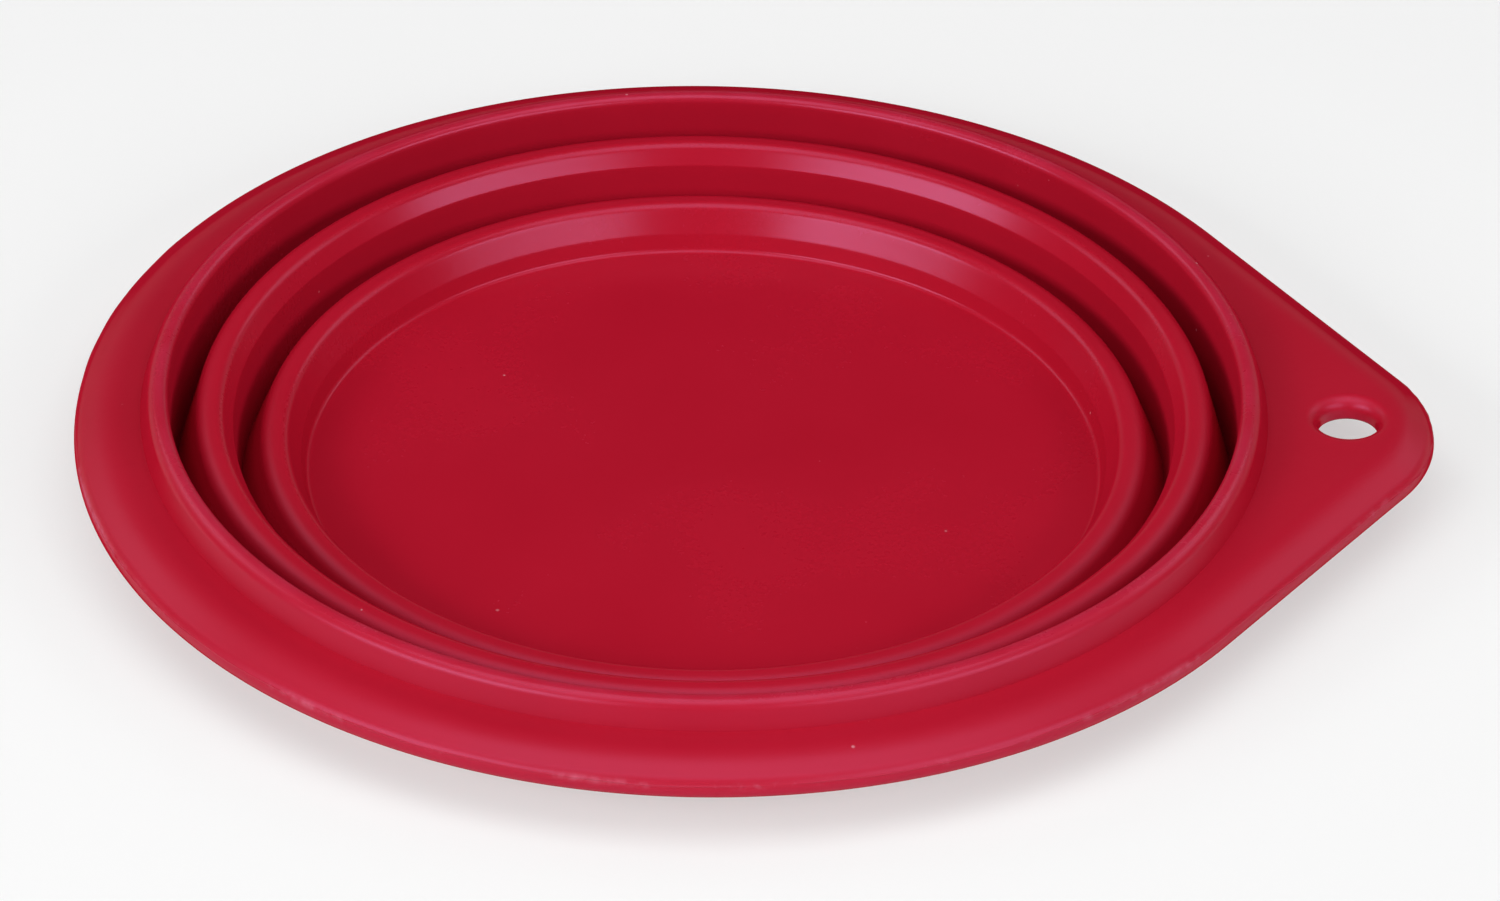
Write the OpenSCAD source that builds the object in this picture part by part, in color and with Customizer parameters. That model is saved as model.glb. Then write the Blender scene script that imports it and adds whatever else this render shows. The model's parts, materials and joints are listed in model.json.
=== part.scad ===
// Collapsible silicone bowl, shown folded flat as it lies on a table.
// Millimetres. The bowl's axis is Z, the table is Z = 0 and the hanging tab points along +X.
// Every ring is one section, drawn as radius and height, and turned about the axis.

/* [Rim] */
// Outside diameter of the rim, without the tab
rim_d = 180.4; // [170:0.2:240]
// Height of the lip's crest above the table, folded flat
lip_h = 17.2; // [16.8:0.1:18]
// Radius of the lip's inner edge
lip_in_r = 1.2; // [0.8:0.1:1.4]
// Radius of the lip's outer edge
lip_out_r = 2; // [1.6:0.1:2.2]
// Width from the top of the lip to the rim's outer edge
flange_w = 12.3; // [11.9:0.1:14.2]
// Height of the lip's crest above the flange
lip_rise = 4.2; // [3.8:0.05:4.6]
// Thickness of the flange beside the lip
flange_t = 3.4; // [2.8:0.1:4]
// Width from the top of the lip to the foot of its outer side
foot_w = 2.8; // [2.6:0.1:3.2]
// Width of the flat that the upper wall carries beyond the foot
root_land = 0.5; // [0.4:0.1:0.6]
// Radius of the hollow between wall and flange, underneath
root_fillet_r = 1.6; // [0.6:0.1:1.8]
// Width of the flange's level underside
under_land = 1.4; // [1.1:0.1:2]
// Width of the sloping edge band of the flange
edge_w = 4.4; // [4:0.1:4.8]
// Drop of the edge band from the flange's upper face
edge_drop = 2.4; // [2:0.05:2.7]
// Radius of the soft turn from flange to edge band
edge_turn_r = 11; // [4:0.5:12]
// Height of the rim's outer edge
edge_h = 2.9; // [2.7:0.1:3.4]
// Radius at the top of the outer edge
edge_top_r = 2.5; // [1:0.1:3]
// Radius at the bottom of the outer edge
edge_low_r = 1; // [0.4:0.1:1.2]

/* [Hanging tab] */
// How far the tip of the tab stands out from the rim's circle
tab_out = 14.4; // [12:0.1:20]
// Radius of the rounded tip
tab_tip_r = 24; // [18:0.5:30]
// Diameter of the hanging hole
hole_d = 8.6; // [6:0.1:9.5]
// Distance from the hole's axis to the tip of the tab
hole_inset = 12.4; // [11.5:0.1:13.5]
// Radius of the hole's rounded edges
hole_edge_r = 1.1; // [0.5:0.1:1.2]

/* [Tiers] */
// Step inwards from the lip to the middle crest
upper_step = 8.7; // [8.3:0.1:10.5]
// Step inwards from the middle crest to the inner crest
lower_step = 9.4; // [8.8:0.1:11]
// Height of the middle crest above the table
middle_h = 14.05; // [12.5:0.05:15]
// Height of the inner crest above the table
inner_h = 9.6; // [9:0.05:11]
// Width of the upper face of the crests
crest_land = 3.2; // [2.7:0.1:3.6]
// Drop of that face towards the rim
crest_fall = 0.3; // [0.2:0.05:0.5]
// Radius of the crests' inner edge
crest_r = 0.9; // [0.4:0.1:1]
// Radius of the crests' outer edge
brow_r = 0.7; // [0.4:0.1:0.8]
// Thickness of the stiff tier walls
wall_t = 2.2; // [1.8:0.1:2.6]
// Inward lean of the upper wall, from lip down to fold
upper_lean = 0.9; // [0.4:0.1:1.4]
// Inward lean of the middle wall, from shoulder down to fold
middle_lean = 1.2; // [0.6:0.1:1.6]
// Width of the sloping shoulder inside the middle crest
shoulder_w = 1.8; // [1.4:0.1:2.2]
// Drop of that shoulder
shoulder_drop = 2.8; // [2.3:0.05:3.3]
// Radius where the shoulder turns into the wall
shoulder_r = 0.8; // [0.3:0.1:1.2]

/* [Folds] */
// Thickness of the thin fold webs
web_t = 1.3; // [0.9:0.1:1.5]
// Height of the folds above the table
fold_lift = 0.3; // [0.2:0.1:0.8]
// Thickness of the fold under a wall
fold_t = 1; // [0.8:0.1:1.4]
// Radius of the fold's lower edges
fold_r = 0.9; // [0.3:0.1:0.9]

/* [Base] */
// Thickness of the floor
floor_t = 3; // [2.4:0.1:3.4]
// Width of the sloping face inside the inner crest
cone_w = 2.1; // [1.6:0.1:2.6]
// Drop of that sloping face
cone_drop = 4; // [3.5:0.05:4.5]
// Radius where the sloping face steepens
cone_r = 2; // [0.5:0.1:2.4]
// Inward taper of the wall below the sloping face
base_taper = 0.8; // [0.4:0.1:1.2]
// Radius between wall and floor
corner_r = 0.8; // [0.3:0.1:1]
// Thickness of the base wall at the table
base_t = 2.4; // [2:0.1:2.8]
// Radius of the base's outer lower edge
base_edge_r = 1.5; // [0.5:0.1:1.8]
// Width of the floor that the base wall carries
floor_land = 3; // [2:0.1:5]

/* [Hidden] */
$fn = 144;

// How far a cut runs past the face that it opens
overrun = 1;
// Gap that keeps the tab's straight facets off the round upper wall
root_gap = 0.02;
// Steps of a rounded corner, of the tab's tip and of one flank of the tab
arc_steps = 8;
tip_steps = 24;
flank_steps = 14;
// Turn of the hole's rounded edge
hole_turn = 75;
// Share of a crest's upper face that belongs to the wall, the rest being the web's
ridge_share = 0.75;

rim_r = rim_d / 2;
lip_r = rim_r - flange_w;
middle_r = lip_r - upper_step;
inner_r = middle_r - lower_step;
hole_r = hole_d / 2;
hole_x = rim_r + tab_out - hole_inset;
tip_x = rim_r + tab_out - tab_tip_r;
// Direction in which the rim's circle and the tab's flanks meet
flank_angle = acos((rim_r - tab_tip_r) / tip_x);

flange_top = lip_h - lip_rise;
flange_low = flange_top - flange_t;
edge_high = flange_top - edge_drop;
edge_low = edge_high - edge_h;
wall_low = fold_lift + fold_t;

lip_top = [lip_r, lip_h];
lip_inner = lip_r - lip_in_r;
lip_foot = [lip_r + foot_w, flange_top];
// Where the flange and the tab meet the upper wall
root_r = lip_foot.x + root_land;

upper_fold = [lip_inner - upper_lean, wall_low];
shoulder = [middle_r - shoulder_w, middle_h - shoulder_drop];
middle_fold = [shoulder.x - middle_lean, wall_low];
cone_end = [inner_r - cone_w, inner_h - cone_drop];
corner = [cone_end.x - base_taper, floor_t];
floor_r = corner.x - floor_land;

middle_crest = [middle_r, middle_h];
inner_crest = [inner_r, inner_h];

function heading(a) = [cos(a), sin(a)];
function angle_of(v) = atan2(v.y, v.x);
function unit(v) = v / norm(v);
// Turn from angle a to angle b, the short way round
function turn(a, b) = (b - a + 540) % 360 - 180;
function arc(centre, r, a, b) =
    [for (i = [0:arc_steps]) centre + r * heading(a + (b - a) * i / arc_steps)];
// Point of the line p q at height z, and at radius x
function at_height(p, q, z) = p + (q - p) * (z - p.y) / (q.y - p.y);
function at_radius(p, q, x) = p + (q - p) * (x - p.x) / (q.x - p.x);

// The corner b of the path a b c, rounded with radius r
function rounded(a, b, c, r) =
    let (u = unit(a - b), v = unit(c - b), half = acos(u * v) / 2)
    let (centre = b + unit(u + v) * r / sin(half), reach = r / tan(half))
    let (first = angle_of(b + u * reach - centre), last = angle_of(b + v * reach - centre))
    arc(centre, r, first, first + turn(first, last));

// Outer edge of a crest's upper face, and the point of that face where wall and web meet
function brow(crest) = crest + [crest_land, -crest_fall];
function ridge(crest) = crest + ridge_share * (brow(crest) - crest);

// Underside of the web from a fold to a crest: a point under the fold, and the crotch at the crest
function web_under(fold, crest) =
    let (along = unit(brow(crest) - fold), start = fold - web_t * [along.y, -along.x])
    [at_height(start, start + along, fold_lift), at_radius(start, start + along, ridge(crest).x)];

// Section of a web: crest, upper face, fold under the wall, underside
function web_section(fold, crest) =
    let (under = web_under(fold, crest), outer = fold.x + wall_t)
    let (outer_low = [outer, fold_lift], outer_high = [outer, wall_low])
    concat(
        [ridge(crest)],
        rounded(ridge(crest), brow(crest), fold, brow_r),
        [fold, outer_high],
        rounded(outer_high, outer_low, under[0], fold_r),
        rounded(outer_low, under[0], under[1], fold_r),
        [under[1]]
    );

// Edge of the flange from the end of its upper face round to the end of its level underside
edge_section =
    let (inner_high = [root_r, flange_top], inner_low = [root_r + under_land, flange_low])
    let (a = [rim_r - edge_w, flange_top], b = [rim_r, edge_high], c = [rim_r, edge_low])
    concat(
        rounded(inner_high, a, b, edge_turn_r),
        rounded(a, b, c, edge_top_r),
        rounded(b, c, inner_low, edge_low_r),
        [inner_low]
    );
flange_section = concat([[root_r, flange_top]], edge_section, [[root_r, flange_low]]);

upper_section =
    let (outer_low = upper_fold + [wall_t, 0])
    let (inside = lip_top - [0, lip_in_r], outside = lip_top - [0, lip_out_r])
    let (outer_high = [lip_inner + wall_t, inside.y])
    let (under = at_height(outer_low, outer_high, flange_low))
    let (root_high = [root_r, flange_top], root_low = [root_r, flange_low])
    // Direction that the lip's outer side faces where it leaves the rounded edge
    let (side = angle_of(lip_foot - outside) + acos(lip_out_r / norm(lip_foot - outside)))
    concat(
        [upper_fold],
        arc(inside, lip_in_r, 180, 90),
        arc(outside, lip_out_r, 90, side),
        [lip_foot, root_high, root_low],
        rounded(root_low, under, outer_low, root_fillet_r),
        [outer_low]
    );

middle_section = concat(
    [middle_fold + [wall_t, 0], web_under(upper_fold, middle_crest)[1], ridge(middle_crest)],
    rounded(ridge(middle_crest), middle_crest, shoulder, crest_r),
    rounded(middle_crest, shoulder, middle_fold, shoulder_r),
    [middle_fold]
);

base_section =
    let (outer = [corner.x + base_t, 0], under = web_under(middle_fold, inner_crest)[1])
    let (land_high = [floor_r, floor_t], land_low = [floor_r, 0])
    concat(
        rounded(land_low, outer, under, base_edge_r),
        [under, ridge(inner_crest)],
        rounded(ridge(inner_crest), inner_crest, cone_end, crest_r),
        rounded(inner_crest, cone_end, corner, cone_r),
        rounded(cone_end, corner, land_high, corner_r),
        [land_high, land_low]
    );

// Stations along the tab's outline, each a point and the direction that the edge faces
function flank_point(side, share) =
    (1 - share) * rim_r * heading(side * flank_angle)
    + share * ([tip_x, 0] + tab_tip_r * heading(side * flank_angle));
tab_stations = concat(
    [for (i = [0:flank_steps - 1]) [flank_point(-1, i / flank_steps), -flank_angle]],
    [for (i = [0:tip_steps])
        let (a = flank_angle * (2 * i / tip_steps - 1))
        [[tip_x, 0] + tab_tip_r * heading(a), a]],
    [for (i = [flank_steps - 1:-1:0]) [flank_point(1, i / flank_steps), flank_angle]]
);
// One station's closed outline, from the upper wall round the edge and back
function tab_ring(station) =
    let (edge = [for (p = edge_section)
        concat(station[0] + (p.x - rim_r) * heading(station[1]), p.y)])
    let (inner = (root_r + root_gap) * heading(angle_of([edge[0].x, edge[0].y])))
    concat([concat(inner, flange_top)], edge, [concat(inner, flange_low)]);

module turned(section) {
    rotate_extrude()
        polygon(section);
}

module tab_blank() {
    rings = [for (station = tab_stations) tab_ring(station)];
    count = len(rings[0]);
    last = len(rings) - 1;
    polyhedron(
        points = [for (ring = rings) for (p = ring) p],
        faces = concat(
            [[for (j = [0:count - 1]) j]],
            [for (i = [0:last - 1]) for (j = [0:count - 1])
                let (k = (j + 1) % count)
                [i * count + j, (i + 1) * count + j, (i + 1) * count + k, i * count + k]],
            [[for (j = [count - 1:-1:0]) last * count + j]]
        )
    );
}

module hole_cut() {
    middle = hole_r + hole_edge_r;
    turned(concat(
        [[0, flange_low - overrun], [middle, flange_low - overrun]],
        arc([middle, flange_low + hole_edge_r], hole_edge_r, 180 + hole_turn, 180),
        arc([middle, flange_top - hole_edge_r], hole_edge_r, 180, 180 - hole_turn),
        [[middle, flange_top + overrun], [0, flange_top + overrun]]
    ));
}

module rim_flange() {
    color("crimson")
        rotate([0, 0, flank_angle])
        rotate_extrude(angle = 360 - 2 * flank_angle)
        polygon(flange_section);
}

module hanging_tab() {
    color("crimson")
        difference() {
            tab_blank();
            translate([hole_x, 0, 0])
                hole_cut();
        }
}

module upper_wall() {
    color("firebrick")
        turned(upper_section);
}

module upper_fold_web() {
    color("indianred")
        turned(web_section(upper_fold, middle_crest));
}

module middle_wall() {
    color("firebrick")
        turned(middle_section);
}

module lower_fold_web() {
    color("indianred")
        turned(web_section(middle_fold, inner_crest));
}

module base_wall() {
    color("firebrick")
        turned(base_section);
}

module base_floor() {
    color("crimson")
        cylinder(r = floor_r, h = floor_t);
}

rim_flange();
hanging_tab();
upper_wall();
upper_fold_web();
middle_wall();
lower_fold_web();
base_wall();
base_floor();
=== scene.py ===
"""Collapsible red silicone bowl, folded flat: its looks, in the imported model's frame.

Metres throughout. The bowl's axis is Z, the table is Z = 0 and the hanging tab points along +X.
Each ring is a section of (radius, height) points that is turned about the axis. The rim follows
the tab's outline as well, so that wall, brim and tab are one seamless skin.
"""

import json
from math import acos, atan2, cos, exp, hypot, pi, radians, sin, tan

import bpy
from mathutils import Matrix, Vector
from mathutils.geometry import delaunay_2d_cdt


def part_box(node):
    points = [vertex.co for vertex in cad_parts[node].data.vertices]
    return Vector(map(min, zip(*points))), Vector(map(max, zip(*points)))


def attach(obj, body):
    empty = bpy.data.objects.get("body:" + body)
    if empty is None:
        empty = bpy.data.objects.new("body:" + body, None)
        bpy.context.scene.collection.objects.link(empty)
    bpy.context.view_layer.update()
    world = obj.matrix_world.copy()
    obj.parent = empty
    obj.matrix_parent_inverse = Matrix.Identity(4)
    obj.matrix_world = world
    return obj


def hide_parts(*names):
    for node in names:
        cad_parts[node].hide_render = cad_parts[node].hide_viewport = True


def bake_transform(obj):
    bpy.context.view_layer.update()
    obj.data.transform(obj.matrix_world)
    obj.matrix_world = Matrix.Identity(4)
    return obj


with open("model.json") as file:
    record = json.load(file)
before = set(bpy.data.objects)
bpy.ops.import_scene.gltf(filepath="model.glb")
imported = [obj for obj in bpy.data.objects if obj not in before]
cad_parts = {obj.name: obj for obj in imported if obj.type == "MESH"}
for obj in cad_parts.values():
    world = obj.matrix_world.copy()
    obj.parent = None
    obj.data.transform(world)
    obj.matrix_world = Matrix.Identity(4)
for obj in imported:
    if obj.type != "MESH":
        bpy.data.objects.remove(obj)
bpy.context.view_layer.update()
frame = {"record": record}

MM = 0.001

# Sizes taken from the frame
wall_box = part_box("upper_wall")
rim_r = -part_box("rim_flange")[0][0]
root_r = -wall_box[0][0]
lip_h = wall_box[1][2]
wall_low = wall_box[0][2]
tab_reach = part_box("hanging_tab")[1][0]
upper_fold_r = -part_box("upper_fold_web")[0][0]
middle_fold_r = -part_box("lower_fold_web")[0][0]
fold_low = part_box("upper_fold_web")[0][2]
floor_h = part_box("base_floor")[1][2]
hole = next(m for m in frame["record"]["mounts"] if m["name"] == "hang_hole")
hole_x = hole["pos_m"][0]
hole_r = hole["dims"]["r_mm"] * MM

# Sizes of the sections, with softer edges than the solids where the photograph shows them
WALL_T = 2.2 * MM
WEB_T = 1.3 * MM
LIP_IN_R = 1.2 * MM
LIP_OUT_R = 2.0 * MM
FOOT_W = 2.8 * MM
ROOT_LAND = 0.5 * MM
ROOT_FILLET_R = 1.6 * MM
FLANGE_T = 3.4 * MM
LIP_RISE = 4.2 * MM
UNDER_LAND = 2.2 * MM
EDGE_W = 4.4 * MM
EDGE_DROP = 2.4 * MM
EDGE_H = 2.9 * MM
EDGE_TURN_R = 9 * MM
TIP_TURN_R = 4 * MM
EDGE_TOP_R = 2.5 * MM
EDGE_LOW_R = 1.0 * MM
TAB_TIP_R = 24 * MM
HOLE_LOW_R = 0.5 * MM
HOLE_TOP_R = 2.0 * MM
UPPER_STEP = 8.7 * MM
LOWER_STEP = 9.4 * MM
MIDDLE_H = 14.05 * MM
INNER_H = 9.6 * MM
CREST_LAND = 3.2 * MM
CREST_FALL = 0.3 * MM
RIDGE_SHARE = 0.75
CREST_R = 1.6 * MM
BROW_R = 2.4 * MM
SHOULDER_W = 1.8 * MM
SHOULDER_DROP = 2.8 * MM
SHOULDER_R = 0.8 * MM
CONE_W = 2.1 * MM
CONE_DROP = 4.0 * MM
CONE_R = 2.0 * MM
BASE_TAPER = 0.8 * MM
CORNER_R = 0.8 * MM
BASE_T = 2.4 * MM
BASE_EDGE_R = 1.5 * MM
FOLD_R = 0.9 * MM

# Looks only: the thin raised line that the two halves of the mould leave round the rim's edge
FLASH_H = 0.08 * MM
FLASH_W = 0.13 * MM
FLASH_AT = radians(25)
# How the line wanders up and down the edge, and how its height swells: size, waves round the rim and phase
FLASH_DRIFT = radians(1.8)
DRIFT_WAVES = ((1, 5, 1), (0.6, 17, 0), (0.4, 41, 2))
FLASH_SWELL = 0.45
SWELL_WAVES = ((0.5, 18, pi / 2 - 3), (-0.5, 40, pi / 2 + 3), (0.5, 67, 0))
# How far down the web a crest's skin runs, and how far the web's end tucks in behind it
SEAM_RUN = 2.1 * MM
SEAM_TUCK = 0.4 * MM
# A ring of points this close to a rounded corner keeps its shading off the straight beside it
SUPPORT = 0.25 * MM
# Faces that meet at more than this angle are shaded apart
SHARP_ANGLE = radians(35)
# How far the rub bloom and painted highlight spread from the lip's top, and the scuffs from the mould's
# line
BLOOM_AND_HIGHLIGHT_SPREAD = 1.1 * MM
SCUFF_SPREAD = 0.5 * MM
# How far the dull wear spreads from the crests' outer edges, how much of it the brim has, where that
# begins outside the lip's top and over what width, and how much rougher full wear makes the surface
WEAR_SPREAD = 1.9 * MM
BRIM_WEAR = 0.55
BRIM_WEAR_FROM = 0.9 * MM
BRIM_WEAR_RUN = 1.0 * MM
WEAR_ROUGHNESS = 0.22
# Noise of the surface: waves per metre and detail
SMUDGE_NOISE = (26, 4)
GRIT_NOISE = (900, 3)
PEBBLE_NOISE = (210, 2)
# This noise breaks up the lip's rub bloom and painted highlight
BLOOM_AND_HIGHLIGHT_NOISE = (160, 4)
SCUFF_NOISE = (48, 5)
SCUFF_GRAIN_NOISE = (700, 2)
SCUFF_GRAIN_SHARE = 0.35
# What part of each noise counts, and what it becomes
SMUDGE_RANGE = (0.3, 0.7)
# The part of that noise that counts for the lip's rub bloom and painted highlight
BLOOM_AND_HIGHLIGHT_RANGE = (0.35, 0.65, 0.5, 1.0)
SCUFF_RANGE = (0.7, 0.9, 0.05, 1.0)
# Dust: cells per metre, a speck's radius in cells, and the share of the cells that hold a speck
COARSE_DUST = (240, 0.09, 0.022)
FINE_DUST = (520, 0.12, 0.008)
SPECK_CORE = 0.5
# How strongly the lip's rub bloom and painted highlight, the scuffs and the dust colour the silicone
BLOOM_AND_HIGHLIGHT_SHARE = 0.3
SCUFF_SHARE = 0.5
DUST_SHARE = 0.7
# Roughness of the satin from smudge to smudge, and what grit, dust and scuffs add to it
SATIN = (0.21, 0.27)
GRIT_ROUGHNESS = 0.04
DIRT_ROUGHNESS = 0.25
# Relief of the surface
GRIT_RELIEF = 0.35
PEBBLE_RELIEF = 0.65
DIRT_RELIEF = 0.5
BUMP_STRENGTH = 0.25
BUMP_DEPTH = 0.12 * MM

# Colours of the silicone, in linear light
DEEP_RED = (0.395, 0.0060, 0.0205, 1)
BRIGHT_RED = (0.430, 0.0068, 0.0235, 1)
# Pink of the lip's top: a painted highlight, partly a rub bloom
BLOOM_AND_HIGHLIGHT_PINK = (0.52, 0.045, 0.11, 1)
SCUFF_PINK = (0.60, 0.16, 0.24, 1)
DUST_PINK = (0.62, 0.24, 0.28, 1)
# How the silicone mirrors light, and the tint of its shine
SILICONE_IOR = 1.41
SHINE_TINT = (0.95, 0.52, 1, 1)
FULL_SHINE = 0.5
# The surface is too fine-grained to mirror at a glance: between these turns from the eye its shine ends
GLANCING = (0.40, 0.68)

# Brightness of the surroundings, and the heights between which it changes
HORIZON = 0.10
ZENITH = 0.04
HORIZON_TOP = sin(radians(16))
ZENITH_FROM = sin(radians(32))
# The floor, and how much of its look is plain white, whatever light falls on it
FLOOR_SIZE = 40
FLOOR_GREY = (0.84, 0.84, 0.84, 1)
FLOOR_ROUGHNESS = 0.9
FLOOR_SHINE = 0.1
FLOOR_WHITE_SHARE = 0.5
# Lamps: name, azimuth and elevation in degrees, distance, width and height, radiance
LAMPS = (
    ("overhead", 0, 77, 1.2, (1.5, 0.95), 2.15),
    ("front_left", -48, 27, 1.3, (1.15, 0.42), 7.0),
    ("front_right", 47, 27, 1.3, (1.15, 0.42), 4.6),
    ("rear_left", -123, 36, 1.4, (0.9, 0.5), 1.4),
    ("rear_right", 123, 36, 1.4, (0.9, 0.5), 1.4),
    ("backdrop", 180, 10, 2.0, (6.0, 0.6), 0.4),
)

# Fineness of the meshes
SEGMENTS = 288
ARC_STEPS = 12
WEB_STEPS = 24
TIP_STEPS = 60
FLANK_STEPS = 30
HOLE_SEGMENTS = 96
# Settings of the flat faces' triangulation: only inside the borders, and points this close are one
INSIDE_ONLY = 1
SAME_POINT = 1e-9

lip_r = root_r - ROOT_LAND - FOOT_W
middle_r = lip_r - UPPER_STEP
inner_r = middle_r - LOWER_STEP
flange_top = lip_h - LIP_RISE
flange_low = flange_top - FLANGE_T
edge_high = flange_top - EDGE_DROP
edge_low = edge_high - EDGE_H
tip_x = tab_reach - TAB_TIP_R
flank = acos((rim_r - TAB_TIP_R) / tip_x)

lip_inner = lip_r - LIP_IN_R
lip_foot = (lip_r + FOOT_W, flange_top)
upper_fold = (upper_fold_r - WALL_T, wall_low)
middle_fold = (middle_fold_r - WALL_T, wall_low)
middle_crest = (middle_r, MIDDLE_H)
inner_crest = (inner_r, INNER_H)
shoulder = (middle_r - SHOULDER_W, MIDDLE_H - SHOULDER_DROP)
cone_end = (inner_r - CONE_W, INNER_H - CONE_DROP)
corner = (cone_end[0] - BASE_TAPER, floor_h)


# Sections

def along(p, q, distance):
    """The point at a distance from p towards q."""
    length = hypot(q[0] - p[0], q[1] - p[1])
    return (p[0] + (q[0] - p[0]) * distance / length, p[1] + (q[1] - p[1]) * distance / length)


def at_height(p, q, height):
    """The point of the line p q at a height."""
    share = (height - p[1]) / (q[1] - p[1])
    return (p[0] + (q[0] - p[0]) * share, height)


def at_radius(p, q, radius):
    """The point of the line p q at a radius."""
    share = (radius - p[0]) / (q[0] - p[0])
    return (radius, p[1] + (q[1] - p[1]) * share)


def heading(centre, p):
    """The angle at which p is seen from a centre."""
    return atan2(p[1] - centre[1], p[0] - centre[0])


def arc(centre, radius, first, last, steps=ARC_STEPS):
    """Points of an arc, angles in radians."""
    angles = [first + (last - first) * i / steps for i in range(steps + 1)]
    return [(centre[0] + radius * cos(a), centre[1] + radius * sin(a)) for a in angles]


def rounded(a, b, c, radius):
    """The corner b of the path a b c as an arc, with a supporting point on each straight."""
    to_a, to_c = heading(b, a), heading(b, c)
    half = abs((to_c - to_a + pi) % (2 * pi) - pi) / 2
    reach = radius / tan(half)
    start, end = along(b, a, reach), along(b, c, reach)
    middle = ((start[0] + end[0]) / 2, (start[1] + end[1]) / 2)
    centre = along(b, middle, radius / sin(half))
    first, last = heading(centre, start), heading(centre, end)
    turn = (last - first + pi) % (2 * pi) - pi
    return ([along(b, a, reach + SUPPORT)] + arc(centre, radius, first, first + turn)
            + [along(b, c, reach + SUPPORT)])


def brow(crest):
    """Outer edge of a crest's upper face."""
    return (crest[0] + CREST_LAND, crest[1] - CREST_FALL)


def ridge(crest):
    """The point of a crest's upper face where wall and web meet."""
    return (crest[0] + RIDGE_SHARE * CREST_LAND, crest[1] - RIDGE_SHARE * CREST_FALL)


def web_inward(fold, crest, p):
    """The point one web thickness behind p, a point of the web's upper face."""
    top = brow(crest)
    length = hypot(top[0] - fold[0], top[1] - fold[1])
    return (p[0] - WEB_T * (top[1] - fold[1]) / length, p[1] + WEB_T * (top[0] - fold[0]) / length)


def web_under(fold, crest):
    """Underside of a web: its point under the fold, and the crotch under the crest."""
    start, end = web_inward(fold, crest, fold), web_inward(fold, crest, brow(crest))
    return at_height(start, end, fold_low), at_radius(start, end, ridge(crest)[0])


def web_seam(fold, crest):
    """Where a crest's skin hands over to the web, on the straight of the web's upper face."""
    return along(brow(crest), fold, SEAM_RUN)


def eased(p, q):
    """Points from p to q, closest together at both ends, where an everting web bends most."""
    shares = [(1 - cos(pi * i / WEB_STEPS)) / 2 for i in range(WEB_STEPS + 1)]
    return [(p[0] + (q[0] - p[0]) * s, p[1] + (q[1] - p[1]) * s) for s in shares]


def web_section(fold, crest):
    """A web from its seam below the crest down to the fold, round it, and back up underneath."""
    under, crotch = web_under(fold, crest)
    outer = fold[0] + WALL_T
    outer_low, outer_high = (outer, fold_low), (outer, wall_low)
    seam = web_seam(fold, crest)
    inside = along(seam, web_inward(fold, crest, seam), SEAM_TUCK)
    under_turn = rounded(outer_low, under, crotch, FOLD_R)
    return (eased(seam, fold) + [outer_high]
            + rounded(outer_high, outer_low, under, FOLD_R)
            + under_turn[:-1] + eased(under_turn[-1], crotch)
            + [along(crotch, ridge(crest), SEAM_TUCK), inside])


def crest_skin(fold, crest, inner_face):
    """Skin over a crest, from the crotch under the web round to its inner face."""
    seam = web_seam(fold, crest)
    return ([web_under(fold, crest)[1], web_inward(fold, crest, seam), seam]
            + rounded(fold, brow(crest), crest, BROW_R)[1:]
            + rounded(brow(crest), crest, inner_face, CREST_R))


def wall_points():
    """Upper wall from its fold up inside and over the lip to the brim, and from there down outside."""
    inside, outside = (lip_r, lip_h - LIP_IN_R), (lip_r, lip_h - LIP_OUT_R)
    outer_low, outer_high = (upper_fold[0] + WALL_T, wall_low), (lip_inner + WALL_T, inside[1])
    under = at_height(outer_low, outer_high, flange_low)
    reach = hypot(lip_foot[0] - outside[0], lip_foot[1] - outside[1])
    side = heading(outside, lip_foot) + acos(LIP_OUT_R / reach)
    lip = arc(inside, LIP_IN_R, pi, pi / 2) + arc(outside, LIP_OUT_R, pi / 2, side)[1:]
    up = ([upper_fold, along(upper_fold, lip[0], SUPPORT), along(lip[0], upper_fold, SUPPORT)]
          + lip + [along(lip[-1], lip_foot, SUPPORT), along(lip_foot, lip[-1], SUPPORT), lip_foot,
                   (root_r, flange_top)])
    down = ([(root_r, flange_low)] + rounded((root_r, flange_low), under, outer_low, ROOT_FILLET_R)
            + [along(outer_low, under, SUPPORT), outer_low])
    return up, down


def edge_points(turn_r, flash_at, flash_h):
    """Edge of the brim from its upper face round to its level underside, and the flash line's index."""
    inner_high = (root_r, flange_top)
    inner_low = (root_r + UNDER_LAND, flange_low)
    a, b, c = (rim_r - EDGE_W, flange_top), (rim_r, edge_high), (rim_r, edge_low)
    steep = pi / 2 - atan2(EDGE_DROP, EDGE_W)
    reach = EDGE_TOP_R * tan(steep / 2)
    centre = (rim_r - EDGE_TOP_R, edge_high - reach)
    span = FLASH_W / EDGE_TOP_R
    before = (rounded(inner_high, a, b, turn_r) + [along(b, a, reach + SUPPORT)]
              + arc(centre, EDGE_TOP_R, steep, flash_at + span))
    flash = arc(centre, EDGE_TOP_R + flash_h, flash_at, flash_at, 1)[:1]
    after = arc(centre, EDGE_TOP_R, flash_at - span, 0) + rounded(b, c, inner_low, EDGE_LOW_R)[1:]
    return before + flash + after + [inner_low], len(before)


def waves(rows, turn):
    """Sum of sine waves at a turn round the rim."""
    return sum(size * sin(count * turn + phase) for size, count, phase in rows)


def flash_course(share):
    """Where the mould's line runs on the edge at a share of the way round, and how far it stands out."""
    turn = 2 * pi * share
    at = FLASH_AT + FLASH_DRIFT * waves(DRIFT_WAVES, turn)
    return at, FLASH_H * (1 + FLASH_SWELL * waves(SWELL_WAVES, turn))


# Meshes

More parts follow.
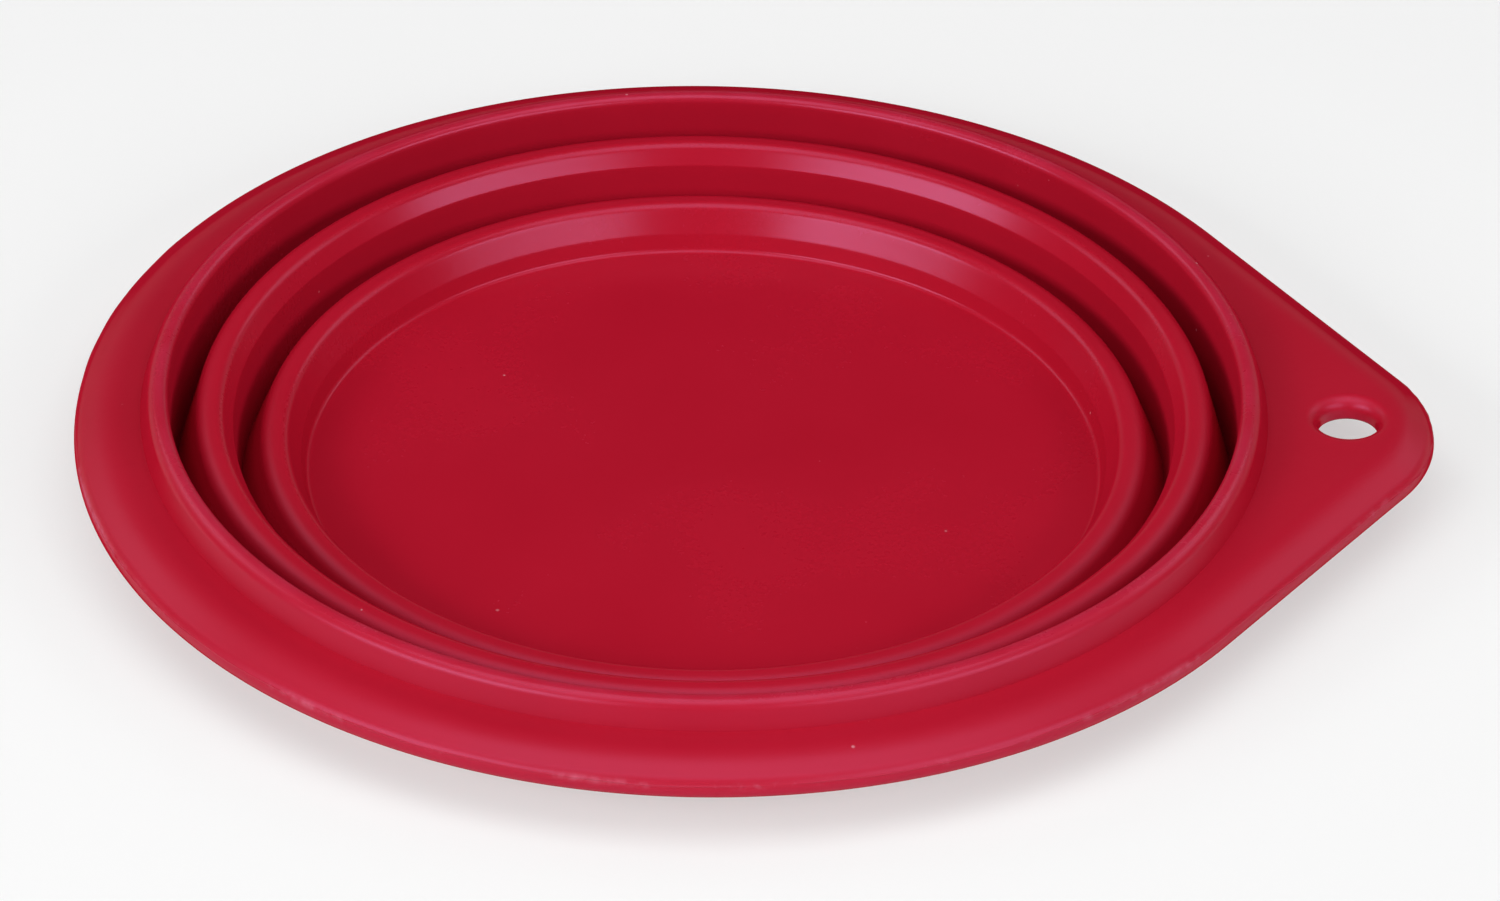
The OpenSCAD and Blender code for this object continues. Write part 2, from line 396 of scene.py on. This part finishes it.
def rubbed_and_highlit(x, y, z):
    """How much rub bloom and painted highlight a point gets: 1 on top of the lip, 0 well away from it."""
    return exp(-(hypot(hypot(x, y) - lip_r, z - lip_h) / BLOOM_AND_HIGHLIGHT_SPREAD) ** 2)


def worn(x, y, z):
    """How worn a point is: 1 on the outer edge of a crest, less on the brim, 0 well away from both."""
    r = hypot(x, y)
    edges = brow(middle_crest), brow(inner_crest)
    away = min(hypot(r - edge_r, z - edge_z) for edge_r, edge_z in edges)
    outside = min(max((r - lip_r - BRIM_WEAR_FROM) / BRIM_WEAR_RUN, 0), 1)
    return max(exp(-(away / WEAR_SPREAD) ** 2), BRIM_WEAR * outside)


def make_piece(name, points, faces, material, node_names, scuffs=None):
    """A smooth-shaded piece with its bloom and painted highlight, wear and scuffs, in the place of its
    solids.
    """
    mesh = bpy.data.meshes.new(name)
    mesh.from_pydata(points, [], faces)
    mesh.polygons.foreach_set("use_smooth", [True] * len(mesh.polygons))
    mesh.set_sharp_from_angle(angle=SHARP_ANGLE)
    mesh.materials.append(material)
    for key, values in (
        # The first key is the lip's rub bloom and painted highlight
        ("bloom_and_highlight", [rubbed_and_highlit(*p) for p in points]),
        ("wear", [worn(*p) for p in points]),
        ("scuff", scuffs or [0] * len(points)),
    ):
        mesh.attributes.new(key, "FLOAT", "POINT").data.foreach_set("value", values)
    piece = bpy.data.objects.new(name, mesh)
    bpy.context.scene.collection.objects.link(piece)
    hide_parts(*node_names)
    return piece


def turned(section):
    """A closed section turned about the axis: points and faces."""
    count = len(section)
    points = []
    for i in range(SEGMENTS):
        a = 2 * pi * i / SEGMENTS
        points += [(r * cos(a), r * sin(a), z) for r, z in section]
    faces = []
    for i in range(SEGMENTS):
        j = (i + 1) % SEGMENTS
        for k in range(count):
            m = (k + 1) % count
            faces.append((i * count + k, i * count + m, j * count + m, j * count + k))
    return points, faces


def base_mesh(section):
    """A section that starts and ends on the axis, with a fan of faces at each end."""
    count = len(section)
    points = [(0, 0, section[0][1])]
    for i in range(SEGMENTS):
        a = 2 * pi * i / SEGMENTS
        points += [(r * cos(a), r * sin(a), z) for r, z in section[1:-1]]
    points.append((0, 0, section[-1][1]))
    ring = count - 2
    last = len(points) - 1
    faces = []
    for i in range(SEGMENTS):
        a, b = 1 + i * ring, 1 + (i + 1) % SEGMENTS * ring
        faces.append((0, a, b))
        faces += [(a + k, a + k + 1, b + k + 1, b + k) for k in range(ring - 1)]
        faces.append((a + ring - 1, last, b + ring - 1))
    return points, faces


def outline_stations():
    """Points round the rim's outline with the way that the edge faces, from the tab's -Y flank on."""
    def flank_point(side, share):
        a = side * flank
        out = Vector((cos(a), sin(a)))
        return (out * rim_r).lerp(Vector((tip_x, 0)) + out * TAB_TIP_R, share), a

    stations = [flank_point(-1, i / FLANK_STEPS) for i in range(FLANK_STEPS)]
    for i in range(TIP_STEPS + 1):
        a = flank * (2 * i / TIP_STEPS - 1)
        stations.append((Vector((tip_x + TAB_TIP_R * cos(a), TAB_TIP_R * sin(a))), a))
    stations += [flank_point(1, i / FLANK_STEPS) for i in range(FLANK_STEPS - 1, -1, -1)]
    tab_count = len(stations)
    steps = round(SEGMENTS * (pi - flank) / pi)
    for i in range(1, steps):
        a = flank + (2 * pi - 2 * flank) * i / steps
        stations.append((Vector((rim_r * cos(a), rim_r * sin(a))), a))
    return stations, tab_count


def rim_mesh():
    """Upper wall, brim and tab as one skin: points, faces, and how scuffed each point is."""
    up, down = wall_points()
    stations, tab_count = outline_stations()
    points, scuffs = [], []
    for i, (p, a) in enumerate(stations):
        tip_share = (1 + cos(pi * a / flank)) / 2 if abs(a) < flank else 0
        turn_r = EDGE_TURN_R + (TIP_TURN_R - EDGE_TURN_R) * tip_share
        edge, flash = edge_points(turn_r, *flash_course(i / len(stations)))
        out = Vector((cos(a), sin(a)))
        ring = [(p + (r - rim_r) * out, z) for r, z in edge]
        turn = atan2(ring[0][0].y, ring[0][0].x)
        points += [(r * cos(turn), r * sin(turn), z) for r, z in up]
        points += [(q.x, q.y, z) for q, z in ring]
        points += [(r * cos(turn), r * sin(turn), z) for r, z in down]
        away = [hypot(r - edge[flash][0], z - edge[flash][1]) for r, z in edge]
        scuffs += ([0] * len(up) + [exp(-(d / SCUFF_SPREAD) ** 2) for d in away] + [0] * len(down))
    count = len(points) // len(stations)
    first_edge, last_edge = len(up), count - len(down) - 1
    faces = []
    for i in range(len(stations)):
        j = (i + 1) % len(stations)
        for k in range(count):
            on_brim = k in (first_edge - 1, last_edge)
            if on_brim and i < tab_count - 1:
                continue
            m = (k + 1) % count
            faces.append((i * count + k, i * count + m, j * count + m, j * count + k))

    mouth_high, mouth_low = hole_r + HOLE_TOP_R, hole_r + HOLE_LOW_R
    hole_section = (arc((mouth_high, flange_top - HOLE_TOP_R), HOLE_TOP_R, pi / 2, pi)
                    + arc((mouth_low, flange_low + HOLE_LOW_R), HOLE_LOW_R, pi, 3 * pi / 2))
    hole_start, ring = len(points), len(hole_section)
    for i in range(HOLE_SEGMENTS):
        a = 2 * pi * i / HOLE_SEGMENTS
        points += [(hole_x + r * cos(a), r * sin(a), z) for r, z in hole_section]
    for i in range(HOLE_SEGMENTS):
        a, b = hole_start + i * ring, hole_start + (i + 1) % HOLE_SEGMENTS * ring
        faces += [(a + k, a + k + 1, b + k + 1, b + k) for k in range(ring - 1)]
    scuffs += [0] * (len(points) - hole_start)

    def fill(wall_point, edge_point, hole_point, mouth, up_facing):
        """The tab's flat face, between the wall, the edge band and the hole."""
        border = [i * count + wall_point for i in range(tab_count)]
        border += [i * count + edge_point for i in range(tab_count - 1, -1, -1)]
        inner = [hole_start + i * ring + hole_point for i in range(HOLE_SEGMENTS)]
        loops = border + inner
        n, h = len(border), len(inner)
        edges = [(i, (i + 1) % n) for i in range(n)] + [(n + i, n + (i + 1) % h) for i in range(h)]
        flat = [Vector(points[i][:2]) for i in loops]
        found, _, triangles, *_ = delaunay_2d_cdt(flat, edges, [], INSIDE_ONLY, SAME_POINT)
        assert len(found) == len(flat)
        for t in triangles:
            middle = sum((found[i] for i in t), Vector((0, 0))) / len(t)
            if (middle - Vector((hole_x, 0))).length < mouth * cos(pi / HOLE_SEGMENTS):
                continue
            face = [loops[i] for i in t]
            faces.append(tuple(face if up_facing else reversed(face)))

    fill(first_edge - 1, first_edge, 0, mouth_high, True)
    fill(last_edge + 1, last_edge, ring - 1, mouth_low, False)
    return points, faces, scuffs


# Material

def red_silicone():
    """Satin red silicone: cloudy, with dust specks, a lip with a rub bloom and a painted highlight, duller
    edges and a scuffed mould line.
    """
    material = bpy.data.materials.new("red_silicone")
    material.use_nodes = True
    tree = material.node_tree
    shader = tree.nodes["Principled BSDF"]
    shader.inputs["IOR"].default_value = SILICONE_IOR
    shader.inputs["Specular Tint"].default_value = SHINE_TINT

    def node(kind, inputs, **settings):
        """A shader node with its settings, and its inputs as sockets or plain values."""
        made = tree.nodes.new("ShaderNode" + kind)
        for key, value in settings.items():
            setattr(made, key, value)
        for key, value in inputs.items():
            if isinstance(value, bpy.types.NodeSocket):
                tree.links.new(value, made.inputs[key])
            else:
                made.inputs[key].default_value = value
        return made

    def math(operation, a, b):
        return node("Math", {0: a, 1: b}, operation=operation).outputs[0]

    def spread(value, low, high, to_low=0.0, to_high=1.0, curve="LINEAR"):
        """A value between two limits, moved to between two others."""
        limits = {"From Min": low, "From Max": high, "To Min": to_low, "To Max": to_high}
        return node("MapRange", {"Value": value, **limits}, interpolation_type=curve).outputs["Result"]

    def blend(share, a, b):
        """Colour a with a share of colour b."""
        return node("Mix", {0: share, 6: a, 7: b}, data_type="RGBA").outputs[2]

    place = tree.nodes.new("ShaderNodeTexCoord").outputs["Object"]

    def noise(scale, detail):
        return node("TexNoise", {"Vector": place, "Scale": scale, "Detail": detail}).outputs[0]

    def specks(scale, size, share):
        """Sparse round specks: a share of the cells of a grid of that scale has one."""
        cells = node("TexVoronoi", {"Vector": place, "Scale": scale})
        drawn = node("SeparateColor", {"Color": cells.outputs["Color"]}).outputs[0]
        spot = spread(cells.outputs["Distance"], size, size * SPECK_CORE)
        return math("MULTIPLY", spot, math("LESS_THAN", drawn, share))

    def attribute(name):
        return node("Attribute", {}, attribute_name=name).outputs["Fac"]

    smudge = noise(*SMUDGE_NOISE)
    grit = noise(*GRIT_NOISE)
    dust = math("MAXIMUM", specks(*COARSE_DUST), specks(*FINE_DUST))
    # Mask of the lip's painted highlight and rub bloom, broken up by noise
    bloom_and_highlight = math("MULTIPLY", attribute("bloom_and_highlight"), spread(noise(*BLOOM_AND_HIGHLIGHT_NOISE), *BLOOM_AND_HIGHLIGHT_RANGE))
    grain = math("MULTIPLY", noise(*SCUFF_GRAIN_NOISE), SCUFF_GRAIN_SHARE)
    patches = spread(math("ADD", noise(*SCUFF_NOISE), grain), *SCUFF_RANGE)
    scuff = math("MULTIPLY", attribute("scuff"), patches)
    dirt = math("MAXIMUM", dust, scuff)

    colour = blend(spread(smudge, *SMUDGE_RANGE), DEEP_RED, BRIGHT_RED)
    # Painted highlight on the lip's top, partly a rub bloom, in pink
    colour = blend(math("MULTIPLY", bloom_and_highlight, BLOOM_AND_HIGHLIGHT_SHARE), colour, BLOOM_AND_HIGHLIGHT_PINK)
    colour = blend(math("MULTIPLY", scuff, SCUFF_SHARE), colour, SCUFF_PINK)
    colour = blend(math("MULTIPLY", dust, DUST_SHARE), colour, DUST_PINK)
    tree.links.new(colour, shader.inputs["Base Color"])

    rough = spread(smudge, *SMUDGE_RANGE, *SATIN)
    wear = attribute("wear")
    for source, share in ((grit, GRIT_ROUGHNESS), (dirt, DIRT_ROUGHNESS), (wear, WEAR_ROUGHNESS)):
        rough = math("ADD", rough, math("MULTIPLY", source, share))
    tree.links.new(rough, shader.inputs["Roughness"])

    facing = node("LayerWeight", {}).outputs["Facing"]
    shine = spread(facing, *GLANCING, FULL_SHINE, 0, "SMOOTHSTEP")
    tree.links.new(shine, shader.inputs["Specular IOR Level"])

    relief = math("MULTIPLY", grit, GRIT_RELIEF)
    for source, share in ((noise(*PEBBLE_NOISE), PEBBLE_RELIEF), (dirt, DIRT_RELIEF)):
        relief = math("ADD", relief, math("MULTIPLY", source, share))
    bump = node("Bump", {"Strength": BUMP_STRENGTH, "Distance": BUMP_DEPTH, "Height": relief})
    tree.links.new(bump.outputs["Normal"], shader.inputs["Normal"])
    return material


# Pieces

red = red_silicone()

rim_points, rim_faces, rim_scuffs = rim_mesh()
rim = make_piece("rim_skin", rim_points, rim_faces, red,
                 ["rim_flange", "hanging_tab", "upper_wall"], rim_scuffs)
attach(rim, "rim")

middle_section = (
    [(middle_fold[0] + WALL_T, wall_low)]
    + crest_skin(upper_fold, middle_crest, shoulder)
    + rounded(middle_crest, shoulder, middle_fold, SHOULDER_R)
    + [along(middle_fold, shoulder, SUPPORT), middle_fold]
)
middle = make_piece("middle_ring", *turned(middle_section), red, ["middle_wall"])
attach(middle, "middle")

base_outer = (corner[0] + BASE_T, 0)
base_section = (
    [(0, 0)]
    + rounded((0, 0), base_outer, web_under(middle_fold, inner_crest)[1], BASE_EDGE_R)
    + crest_skin(middle_fold, inner_crest, cone_end)
    + rounded(inner_crest, cone_end, corner, CONE_R)
    + rounded(cone_end, corner, (0, floor_h), CORNER_R)
    + [(0, floor_h)]
)
base = make_piece("base_cup", *base_mesh(base_section), red, ["base_wall", "base_floor"])
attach(base, "base")

for name, fold, crest, bodies, web_node in (
    ("upper_web", upper_fold, middle_crest, ("middle", "rim"), "upper_fold_web"),
    ("lower_web", middle_fold, inner_crest, ("base", "middle"), "lower_fold_web"),
):
    web = make_piece(name, *turned(web_section(fold, crest)), red, [web_node])
    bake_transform(web)


# Stage

def place_camera():
    """The photograph's view: nearly parallel, from above the bowl's near side."""
    elevation, azimuth, roll = radians(33.8), radians(-0.5), radians(0.84)
    distance, pixels_per_metre = 2.5, 6994
    image_w, image_h = 1500, 901
    lip_centre_px = (704.5, 386.3)
    right = Vector((cos(azimuth), sin(azimuth), 0))
    away = Vector((-sin(azimuth), cos(azimuth), 0))
    forward = away * cos(elevation) - Vector((0, 0, 1)) * sin(elevation)
    up = right.cross(forward)
    right, up = right * cos(roll) + up * sin(roll), up * cos(roll) - right * sin(roll)
    aim = (Vector((0, 0, lip_h))
           + right * (image_w / 2 - lip_centre_px[0]) / pixels_per_metre
           + up * (lip_centre_px[1] - image_h / 2) / pixels_per_metre)
    data = bpy.data.cameras.new("photo_camera")
    data.sensor_fit = "HORIZONTAL"
    data.lens = pixels_per_metre * distance * data.sensor_width / image_w
    camera = bpy.data.objects.new("photo_camera", data)
    turn = Matrix((right, up, -forward)).transposed().to_4x4()
    camera.matrix_world = Matrix.Translation(aim - forward * distance) @ turn
    bpy.context.scene.collection.objects.link(camera)
    bpy.context.scene.camera = camera


def softbox(name, azimuth, elevation, distance, size, radiance):
    """A soft rectangular lamp aimed at the bowl; azimuth counts from the camera's side to the right."""
    turn, rise = radians(azimuth), radians(elevation)
    place = distance * Vector((sin(turn) * cos(rise), -cos(turn) * cos(rise), sin(rise)))
    data = bpy.data.lights.new(name, "AREA")
    data.shape = "RECTANGLE"
    data.size, data.size_y = size
    data.energy = radiance * pi * size[0] * size[1]
    lamp = bpy.data.objects.new(name, data)
    aim = (-place).to_track_quat("-Z", "Y").to_matrix().to_4x4()
    lamp.matrix_world = Matrix.Translation(place) @ aim
    bpy.context.scene.collection.objects.link(lamp)


def make_floor():
    """A pale floor that is partly plain white wherever it is seen, straight or in a reflection."""
    bpy.ops.mesh.primitive_plane_add(size=FLOOR_SIZE)
    floor = bpy.context.object
    floor.name = "floor"
    material = bpy.data.materials.new("pale_floor")
    material.use_nodes = True
    nodes, links = material.node_tree.nodes, material.node_tree.links
    shader = nodes["Principled BSDF"]
    shader.inputs["Base Color"].default_value = FLOOR_GREY
    shader.inputs["Roughness"].default_value = FLOOR_ROUGHNESS
    shader.inputs["Specular IOR Level"].default_value = FLOOR_SHINE
    rays = nodes.new("ShaderNodeLightPath")
    seen = rays.outputs["Is Camera Ray"]
    for kind in ("Is Glossy Ray", "Is Transmission Ray"):
        either = nodes.new("ShaderNodeMath")
        either.operation = "MAXIMUM"
        links.new(seen, either.inputs[0])
        links.new(rays.outputs[kind], either.inputs[1])
        seen = either.outputs[0]
    share = nodes.new("ShaderNodeMath")
    share.operation = "MULTIPLY"
    links.new(seen, share.inputs[0])
    share.inputs[1].default_value = FLOOR_WHITE_SHARE
    white = nodes.new("ShaderNodeEmission")
    mix = nodes.new("ShaderNodeMixShader")
    links.new(share.outputs[0], mix.inputs[0])
    links.new(shader.outputs[0], mix.inputs[1])
    links.new(white.outputs[0], mix.inputs[2])
    links.new(mix.outputs[0], nodes["Material Output"].inputs["Surface"])
    floor.data.materials.append(material)


def make_world():
    """Pale round the horizon and dim overhead, so that the lamps shape the bowl."""
    world = bpy.data.worlds.new("studio")
    world.use_nodes = True
    nodes, links = world.node_tree.nodes, world.node_tree.links
    height = nodes.new("ShaderNodeSeparateXYZ")
    links.new(nodes.new("ShaderNodeTexCoord").outputs["Generated"], height.inputs[0])
    fade = nodes.new("ShaderNodeMapRange")
    fade.interpolation_type = "SMOOTHSTEP"
    links.new(height.outputs["Z"], fade.inputs["Value"])
    for key, value in {"From Min": HORIZON_TOP, "From Max": ZENITH_FROM,
                       "To Min": HORIZON, "To Max": ZENITH}.items():
        fade.inputs[key].default_value = value
    links.new(fade.outputs["Result"], nodes["Background"].inputs["Strength"])
    bpy.context.scene.world = world


place_camera()
make_floor()
make_world()
for lamp in LAMPS:
    softbox(*lamp)
bpy.context.scene.view_settings.view_transform = "Standard"
